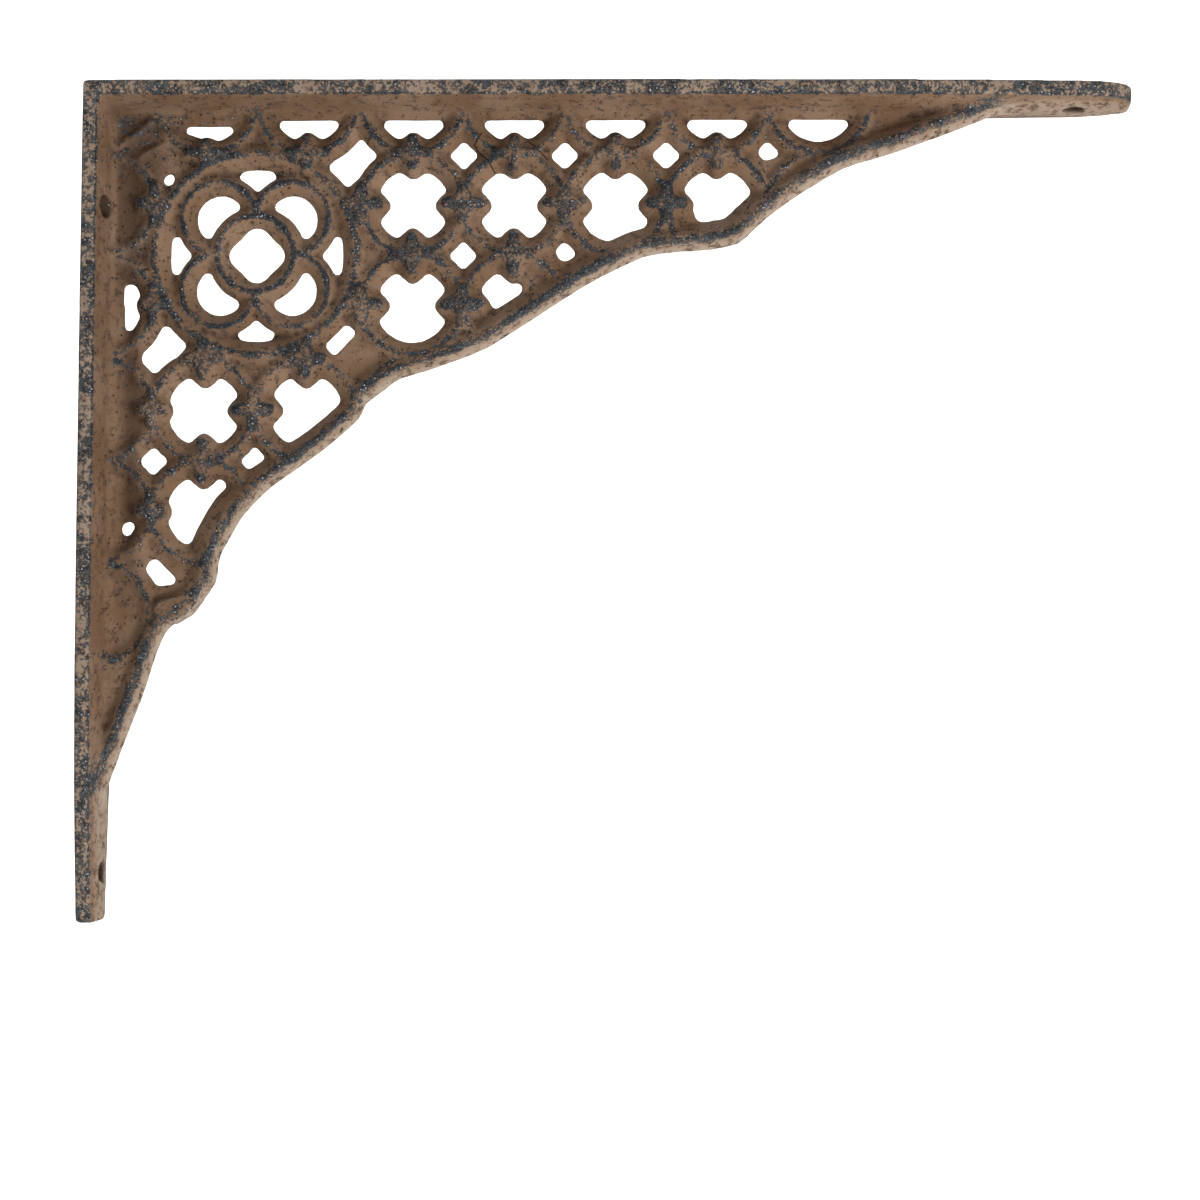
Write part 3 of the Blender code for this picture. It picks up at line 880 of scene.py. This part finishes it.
class NodeBench:
    """Node tree of one material, with short ways to place the nodes that the finish needs."""

    def __init__(self, name: str) -> None:
        """Make the material with an empty Principled shader.

        Args:
            name: Name of the material.
        """
        self.material = bpy.data.materials.new(name)
        self.material.use_nodes = True
        self.tree = self.material.node_tree
        self.shader = self.tree.nodes["Principled BSDF"]
        self.coords = self.tree.nodes.new("ShaderNodeTexCoord").outputs["Object"]

    def feed(self, node: bpy.types.Node, inputs: dict[str | int, Source]) -> None:
        """Join sockets to a node's inputs, or set values on them.

        Args:
            node: The node.
            inputs: What each input gets.
        """
        for name, source in inputs.items():
            if isinstance(source, Socket):
                self.tree.links.new(source, node.inputs[name])
            else:
                node.inputs[name].default_value = source

    def node(self, kind: str, inputs: dict[str | int, Source], **settings: object) -> bpy.types.Node:
        """Place a node.

        Args:
            kind: Blender's name of its kind, without the lead.
            inputs: What each input gets.
            settings: The node's own settings.

        Returns:
            The node.
        """
        node = self.tree.nodes.new("ShaderNode" + kind)
        for name, value in settings.items():
            setattr(node, name, value)
        self.feed(node, inputs)
        return node

    def noise(self, scale: float, detail: float = 2.0, rough: float = 0.6) -> Socket:
        """Noise near one half, by its cells to a metre, its finer layers and their strength."""
        inputs = {"Vector": self.coords, "Scale": scale, "Detail": detail, "Roughness": rough}
        return self.node("TexNoise", inputs).outputs["Fac"]

    def cells(self, scale: float) -> Socket:
        """Distance to the nearest of scattered points, for pits and the painted bright flecks."""
        return self.node("TexVoronoi", {"Vector": self.coords, "Scale": scale}).outputs["Distance"]

    def value(self, attribute: Attribute) -> Socket:
        """Value that the mesh carries."""
        return self.node("Attribute", {}, attribute_name=attribute.value).outputs["Fac"]

    def maths(self, operation: str, *numbers: Source) -> Socket:
        """Result of one of Blender's sums."""
        return self.node("Math", dict(enumerate(numbers)), operation=operation).outputs[0]

    def product(self, *factors: Source) -> Socket:
        """Product of two or more numbers."""
        return reduce(lambda first, second: self.maths("MULTIPLY", first, second), factors)

    def step(self, value: Socket, low: float, high: float) -> Socket:
        """Soft step from 0 at low to 1 at high, which may be below low."""
        (start, first), (end, last) = sorted(((low, 0.0), (high, 1.0)))
        inputs = {"Value": value, "From Min": start, "From Max": end, "To Min": first, "To Max": last}
        return self.node("MapRange", inputs, interpolation_type="SMOOTHSTEP").outputs["Result"]

    def lay(self, share: Source, below: Source, above: Source) -> Socket:
        """Colour with a share of the upper one laid over the lower one."""
        return self.node("Mix", {0: share, 6: below, 7: above}, data_type="RGBA").outputs[2]

    def bumps(self, layers: Iterable[tuple[Socket, float, float]]) -> None:
        """Stack bumps on the shader.

        Args:
            layers: Height, strength and distance in metres of each.
        """
        stacked: dict[str, Source] = {}
        for height, strength, distance in layers:
            bump = self.node("Bump", {"Height": height, "Strength": strength, "Distance": distance, **stacked})
            stacked = {"Normal": bump.outputs["Normal"]}
        self.feed(self.shader, stacked)


@dataclass(frozen=True)
class Casting:
    """The whole bracket, one iron casting."""

    voxel: float = 0.42
    fillet: float = 0.55
    soften_rounds: int = 4
    triangles: int = 122000
    most_triangles: int = 190000
    edge_limits: tuple[float, ...] = (8.0, 5.0, 3.5, 2.5, 1.9, 1.5, 1.25)
    crack_edge_limits: tuple[float, ...] = (0.5, 0.28, 0.16)
    rough_height: float = 0.10
    # Cells to a metre and share of each layer of the rough skin
    grain_layers: Outline = ((620.0, 0.55), (1500.0, 0.45))
    swell_scale: float = 160.0
    swell_share: float = 0.9
    swell_shift: Triple = (7.0, 3.0, 1.0)
    # How much rougher the relief is than the floors, between which heights that starts and where it ends, mm
    relief_rougher: float = 1.6
    relief_rise: Pair = (2.6, 3.6)
    relief_top: float = 6.0
    # How near a fixing face, mm, and how squarely it faces it, 0 to 1, skin is that stays flat
    flat_skin: float = 0.25
    flat_facing: float = 0.9
    spread_rounds: int = 4
    # Painted shade, partly patina: bend of the skin that counts as a recess, and how dark the painted shade in the
    # valleys and on the floors gets
    hollow_bend: Pair = (0.02, 0.30)
    valley_shade: float = 0.85
    floor_shade: float = 0.65
    finish: IronFinish = IronFinish()
    rim: Rim = Rim()
    lattice: Lattice = Lattice()
    rosette: Rosette = Rosette()
    panels: Panels = Panels()
    details: Details = Details()
    cracks: Cracks = Cracks()
    straps: Straps = Straps()

    def modify(self, item: Thing, name: str, kind: str, **settings: object) -> None:
        """Add a modifier to an object.

        Args:
            item: The object.
            name: Name of the modifier.
            kind: Blender's name of its kind.
            settings: The values that it gets.
        """
        modifier = item.modifiers.new(name, kind)
        for setting, value in settings.items():
            setattr(modifier, setting, value)

    def bake(self, item: Thing) -> None:
        """Apply an object's modifiers to its mesh."""
        graph = bpy.context.evaluated_depsgraph_get()
        mesh = bpy.data.meshes.new_from_object(item.evaluated_get(graph))
        old = item.data
        item.modifiers.clear()
        item.data = mesh
        bpy.data.meshes.remove(old)

    def web_body(self) -> Thing:
        """Ribs, rosette, bosses and panels of the web, with the rim."""
        founder = Founder()
        self.lattice.build(founder)
        self.rosette.build(founder)
        self.rim.keep_inside(founder.bm)
        for part in (self.panels, self.details, self.rim):
            part.build(founder)
        return founder.pour("web_parts")

    def strap_body(self) -> Thing:
        """Both arms with their screw holes."""
        founder = Founder()
        founder.swept(self.straps.stations())
        straps = founder.pour("strap_parts")
        cutter = self.straps.cutter()
        self.modify(straps, "screw_holes", "BOOLEAN", operation="DIFFERENCE", solver="EXACT", object=cutter)
        self.bake(straps)
        bpy.data.objects.remove(cutter)
        return straps

    def build(self) -> Thing:
        """Cast the parts into one body.

        Returns:
            The finished object.
        """
        bm = bmesh.new()
        for body in (self.web_body(), self.strap_body()):
            bm.from_mesh(body.data)
            bpy.data.objects.remove(body)
        item = show("bracket_casting", mesh_of(bm, "bracket_casting"))
        for name, shift in (("swell", self.fillet), ("shrink", -self.fillet)):
            self.modify(item, "cast", "REMESH", mode="VOXEL", voxel_size=self.voxel * MM)
            self.modify(item, name, "DISPLACE", mid_level=0.0, strength=shift * MM)
        self.bake(item)
        faces = len(item.data.polygons)
        self.modify(item, "soften", "SMOOTH", factor=0.5, iterations=self.soften_rounds)
        self.modify(item, "thin", "DECIMATE", ratio=min(1.0, self.triangles / (2 * faces)))
        self.bake(item)
        self.refine(item)
        self.roughen(item)
        self.patinate_and_paint_shading(item)
        item.data.polygons.foreach_set("use_smooth", np.ones(len(item.data.polygons), bool))
        return item

    def refine(self, item: Thing) -> None:
        """Split the long edges that thinning left on the flat faces, so that the finish has points to follow.

        Args:
            item: The casting.
        """
        bm = bmesh.new()
        bm.from_mesh(item.data)
        for limit in self.edge_limits:
            long = [edge for edge in bm.edges if edge.calc_length() > limit * MM]
            if len(bm.faces) + 2 * len(long) > self.most_triangles:
                break
            self.split(bm, long)
        for limit in self.crack_edge_limits:
            middles = np.array([(edge.verts[0].co + edge.verts[1].co) / 2 for edge in bm.edges]) / MM
            plane = np.stack([middles[:, 0], ORIGIN_DROP - middles[:, 2]], axis=1)
            close = self.cracks.distance(plane) < 2.0 * limit
            long = [edge for edge, beside in zip(bm.edges, close) if beside and edge.calc_length() > limit * MM]
            self.split(bm, long)
        bm.to_mesh(item.data)
        bm.free()

    def split(self, bm: Shape, edges: list[bmesh.types.BMEdge]) -> None:
        """Halve some edges and keep every face a triangle."""
        bmesh.ops.subdivide_edges(bm, edges=edges, cuts=1)
        bmesh.ops.triangulate(bm, faces=[face for face in bm.faces if len(face.verts) > 3])

    def coordinates(self, mesh: bpy.types.Mesh) -> Array:
        """Vertices as rows of reach, drop and across, in millimetres."""
        spots = vertex_rows(mesh, "co") / MM
        return np.stack([spots[:, 0], ORIGIN_DROP - spots[:, 2], spots[:, 1]], axis=1)

    def roughen(self, item: Thing) -> None:
        """Give the skin the unevenness of a sand casting, and keep the two fixing faces flat.

        Args:
            item: The casting.
        """
        mesh = item.data
        spots = vertex_rows(mesh, "co")
        normals = vertex_rows(mesh, "normal")
        grain = np.array([sum(noise.noise(Vector(spot) * scale) * share for scale, share in self.grain_layers)
                          for spot in spots])
        swell = np.array([noise.noise(Vector(spot) * self.swell_scale + Vector(self.swell_shift)) for spot in spots])
        across = np.abs(spots[:, 1]) / MM
        low, high = self.relief_rise
        relief = np.clip((across - low) / (high - low), 0.0, 1.0) * (across < self.relief_top)
        shift = self.rough_height * (grain * (1.0 + self.relief_rougher * relief) + swell * self.swell_share)
        cracked = near(self.cracks.distance(self.coordinates(mesh)[:, :2]), self.cracks.half_width)
        moved = spots + normals * ((shift - cracked * self.cracks.depth) * MM)[:, None]
        top = ORIGIN_DROP * MM
        moved[(spots[:, 0] < self.flat_skin * MM) & (normals[:, 0] < -self.flat_facing), 0] = 0.0
        moved[(spots[:, 2] > top - self.flat_skin * MM) & (normals[:, 2] > self.flat_facing), 2] = top
        lowest = np.array((0.0, -self.straps.half, ORIGIN_DROP - self.straps.drop)) * MM
        highest = np.array((self.straps.reach, self.straps.half, ORIGIN_DROP)) * MM
        mesh.vertices.foreach_set("co", np.clip(moved, lowest, highest).ravel())
        mesh.update()

    def patinate_and_paint_shading(self, item: Thing) -> None:
        """Store how rubbed and cracked each vertex is, how dark its painted shade and patina are, and how pale the
        strap faces' deposit and the painted light on lit faces make it.

        Args:
            item: The casting.
        """
        spots = self.coordinates(item.data)
        skin = Skin(spots[:, :2], np.abs(spots[:, 2]))
        worn = [part.rub(skin) for part in (self.lattice, self.rosette, self.rim, self.details, self.straps)]
        for attribute, values in (
            (Attribute.RUB, np.max(worn, axis=0)),
            # Painted shade in recesses, partly patina
            (Attribute.SHADE_AND_PATINA, self.shade_and_patina_mask(item.data, spots)),
            (Attribute.CRACK, near(self.cracks.distance(skin.plane), self.cracks.half_width)),
            # Real dust on the strap faces, and painted light on the rim's outer face and the tips' undersides
            (Attribute.DUST_AND_LIGHT, np.maximum(self.rim.dust_and_painted_light(skin), self.straps.dust_and_painted_light(skin))),
        ):
            layer = item.data.attributes.new(attribute.value, "FLOAT", "POINT")
            layer.data.foreach_set("value", values.astype(np.float32))

    def shade_and_patina_mask(self, mesh: bpy.types.Mesh, spots: Array) -> Array:
        """How dark each vertex is painted for lying in a recess: painted shade, partly patina.

        Args:
            mesh: The casting's mesh.
            spots: Its vertices, mm.

        Returns:
            0 on open skin to 1 in a deep corner.
        """
        edges = np.zeros(len(mesh.edges) * 2, np.int64)
        mesh.edges.foreach_get("vertices", edges)
        ends = edges.reshape(-1, 2).T
        points = vertex_rows(mesh, "co") / MM
        normals = vertex_rows(mesh, "normal")
        leg = points[ends[1]] - points[ends[0]]
        length = np.maximum(np.linalg.norm(leg, axis=1), 1e-6)

        def gathered(from_first: Array, from_last: Array) -> Array:
            """For each vertex, the sum of what the edges that start and end there give it."""
            return np.bincount(ends[0], from_first, len(points)) + np.bincount(ends[1], from_last, len(points))

        count = np.maximum(gathered(np.ones(len(leg)), np.ones(len(leg))), 1.0)
        bends = [np.einsum("ij,ij->i", leg, normals[end]) / length**2 for end in ends]
        painted_shade_and_patina = gathered(bends[0], -bends[1]) / count
        for _ in range(self.spread_rounds):
            painted_shade_and_patina = 0.4 * painted_shade_and_patina + 0.6 * gathered(painted_shade_and_patina[ends[1]], painted_shade_and_patina[ends[0]]) / count
        # Painted shade, partly patina, in creases, with the painted shade of the valleys, floors and screw holes
        return np.maximum(smooth_rise(painted_shade_and_patina, *self.hollow_bend), self.shaded(spots, np.abs(normals[:, 1])))

    def shaded(self, spots: Array, facing: Array) -> Array:
        """How much painted shade lies in the valleys beside the arms, on the recessed floors near the corner and on
        the walls of the screw holes.

        Args:
            spots: The vertices, mm.
            facing: How squarely each one faces the front or the back, 0 to 1.

        Returns:
            0 to 1 for each vertex.
        """
        reach, drop, height = spots[:, 0], spots[:, 1], np.abs(spots[:, 2])
        low = smooth_rise(height, 3.2, 1.8)
        wall = near(reach - 10.0, 2.0) * smooth_rise(drop, 8.0, 14.0) * smooth_rise(drop, 128.0, 105.0)
        shelf = near(drop - 9.3, 1.6) * smooth_rise(reach, 7.0, 10.0) * smooth_rise(reach, 27.0, 17.0)
        floor = smooth_rise(facing, 0.55, 0.90) * smooth_rise(height, 2.4, 1.2)
        side = floor * smooth_rise(reach, 20.0, 13.5) * smooth_rise(drop, 56.0, 46.0)
        valleys = np.maximum(wall, shelf) * low
        # Painted shade in the valleys, on the recessed floors and on the walls of the screw holes
        return np.max([self.valley_shade * valleys, self.floor_shade * side, self.straps.bored(spots)], axis=0)

    def dress(self, item: Thing) -> None:
        """Give the casting its finish.

        Args:
            item: The casting.
        """
        bench = NodeBench("rubbed_brown_iron")
        finish = self.finish
        broad = bench.noise(finish.broad_scale)
        patches = bench.step(bench.noise(finish.patch_scale), 0.38, 0.60)
        mottle = bench.noise(finish.mottle_scale, 3.0, 0.65)
        grain = bench.noise(finish.grain_scale)
        pits = bench.product(bench.step(bench.cells(finish.pit_scale), 0.32, 0.16), bench.step(mottle, 0.44, 0.56))
        ragged = bench.product(bench.value(Attribute.RUB), bench.maths("MULTIPLY_ADD", patches, 0.42, 0.70))
        for layer, strength in ((grain, 2.6), (mottle, 1.7)):
            ragged = bench.maths("MULTIPLY_ADD", bench.maths("SUBTRACT", layer, 0.5), strength, ragged)
        bare = bench.step(ragged, 0.32, 0.72)
        iron = bench.lay(bench.step(grain, 0.46, 0.66), finish.iron, finish.iron_pale)
        # Painted glints: bright flecks on the bare iron
        painted_glints = bench.product(bench.step(bench.cells(finish.painted_glint_scale), 0.32, 0.12),
                               bench.step(mottle, 0.50, 0.62), bare)
        dust_and_painted_light = bench.product(bench.value(Attribute.DUST_AND_LIGHT), bench.step(mottle, 0.68, 0.42))
        colour: Source = finish.brown
        # Where each layer lies, how much it covers and its colour, from the lowest to the top one
        for where, cover, above in (
            (bench.step(broad, 0.36, 0.66), 1.0, finish.brown_pale),
            (bench.step(mottle, 0.48, 0.70), 0.75, finish.brown_dark),
            # Painted shade in recesses, valleys and screw holes, partly patina
            (bench.value(Attribute.SHADE_AND_PATINA), 0.85, finish.painted_shade_and_patina),
            # Real dust on the strap faces, and painted light on the rim's outer face and the tips' undersides
            (dust_and_painted_light, 0.88, finish.dust_and_painted_light),
            (pits, 0.85, finish.pit),
            (bare, 0.95, iron),
            # Painted glints
            (painted_glints, 0.55, finish.painted_glint),
            (bench.value(Attribute.CRACK), 1.0, finish.crack),
        ):
            colour = bench.lay(bench.product(where, cover), colour, above)
        rough = bench.maths("MULTIPLY_ADD", bare, finish.bare_smoother, finish.roughness)
        bench.feed(bench.shader, {
            "Base Color": colour,
            "Metallic": bench.product(bare, finish.bare_metallic),
            "Specular IOR Level": finish.specular,
            "Roughness": bench.maths("MULTIPLY_ADD", grain, finish.grain_rougher, rough),
        })
        lumps = bench.maths("MULTIPLY_ADD", pits, -0.8, grain)
        bench.bumps(((mottle, 0.35, 0.0006), (lumps, 0.60, 0.0003)))
        item.data.materials.clear()
        item.data.materials.append(bench.material)


@dataclass(frozen=True)
class Studio:
    """Pale sweep, soft lights that face the bracket, and the camera."""

    sweep_colour: Colour = (0.90, 0.90, 0.89, 1.0)
    sweep_glow: float = 0.34
    floor_height: float = -0.42
    sweep_half: float = 2.4
    curve_start: float = 0.55
    curve_radius: float = 0.45
    curve_steps: int = 12
    sweep_height: float = 2.2
    camera_place: Triple = (0.12929, -0.44024, -0.06707)
    camera_turn: Triple = (92.628, -0.2005, 0.9356)
    lens: float = 55.76
    aim: Triple = (0.12, 0.0, -0.02)
    world_glow: float = 0.44
    # Name, place, length of a side and power of each square light, m and W
    lights: tuple[tuple[str, Triple, float, float], ...] = (
        ("side_soft", (0.74, -0.62, -0.31), 0.35, 11.6),
        ("front_soft", (-0.25, -0.95, 0.15), 0.80, 1.8),
        ("top_soft", (-0.2, -0.5, 1.2), 1.2, 5.0),
        ("back_soft", (0.1, 0.6, 1.2), 1.0, 14.0),
    )

    def sweep(self) -> Thing:
        """Floor that curves up into a backdrop.

        Returns:
            The sweep.
        """
        profile = [(-self.sweep_half, 0.0)]
        for step in range(self.curve_steps + 1):
            angle = math.radians(90.0 * step / self.curve_steps)
            away = self.curve_start + self.curve_radius * math.sin(angle)
            profile.append((away, self.curve_radius * (1.0 - math.cos(angle))))
        profile.append((self.curve_start + self.curve_radius, self.sweep_height))
        bm = bmesh.new()
        verts = [bm.verts.new((-self.sweep_half, away, self.floor_height + up)) for away, up in profile]
        edges = [bm.edges.new(pair) for pair in zip(verts, verts[1:])]
        made = bmesh.ops.extrude_edge_only(bm, edges=edges)["geom"]
        moved = [item for item in made if isinstance(item, bmesh.types.BMVert)]
        bmesh.ops.translate(bm, verts=moved, vec=(2.0 * self.sweep_half, 0.0, 0.0))
        bmesh.ops.recalc_face_normals(bm, faces=bm.faces)
        mesh = mesh_of(bm, "studio_sweep")
        mesh.polygons.foreach_set("use_smooth", np.ones(len(mesh.polygons), bool))
        material = bpy.data.materials.new("pale_sweep")
        material.use_nodes = True
        inputs = material.node_tree.nodes["Principled BSDF"].inputs
        inputs["Base Color"].default_value = self.sweep_colour
        inputs["Roughness"].default_value = 0.9
        inputs["Emission Color"].default_value = self.sweep_colour
        inputs["Emission Strength"].default_value = self.sweep_glow
        mesh.materials.append(material)
        return show("studio_sweep", mesh)

    def build(self) -> Thing:
        """Set up the stage.

        Returns:
            The sweep, which isn't part of the bracket.
        """
        for name, spot, size, power in self.lights:
            lamp = bpy.data.lights.new(name, "AREA")
            lamp.size = size
            lamp.energy = power
            item = show(name, lamp)
            item.location = spot
            item.rotation_euler = (Vector(self.aim) - Vector(spot)).to_track_quat("-Z", "Y").to_euler()
        world = bpy.data.worlds.new("studio_light")
        world.use_nodes = True
        background = world.node_tree.nodes["Background"]
        background.inputs["Color"].default_value = (1.0, 1.0, 1.0, 1.0)
        background.inputs["Strength"].default_value = self.world_glow
        bpy.context.scene.world = world
        bpy.context.scene.view_settings.view_transform = "Standard"
        data = bpy.data.cameras.new("camera")
        data.lens = self.lens
        data.sensor_width = 36.0
        camera = show("camera", data)
        camera.location = self.camera_place
        camera.rotation_euler = Euler([math.radians(angle) for angle in self.camera_turn], "XYZ")
        bpy.context.scene.camera = camera
        return self.sweep()


def main() -> None:
    """Build the bracket and the studio."""
    logging.basicConfig(level=logging.INFO, format="%(name)s: %(message)s")
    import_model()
    casting = Casting()
    piece = casting.build()
    casting.dress(piece)
    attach(piece, "root")
    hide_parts("bracket")
    LOG.info("%s: %d triangles", piece.name, len(piece.data.polygons))
    Studio().build()


if __name__ == "__main__":
    main()
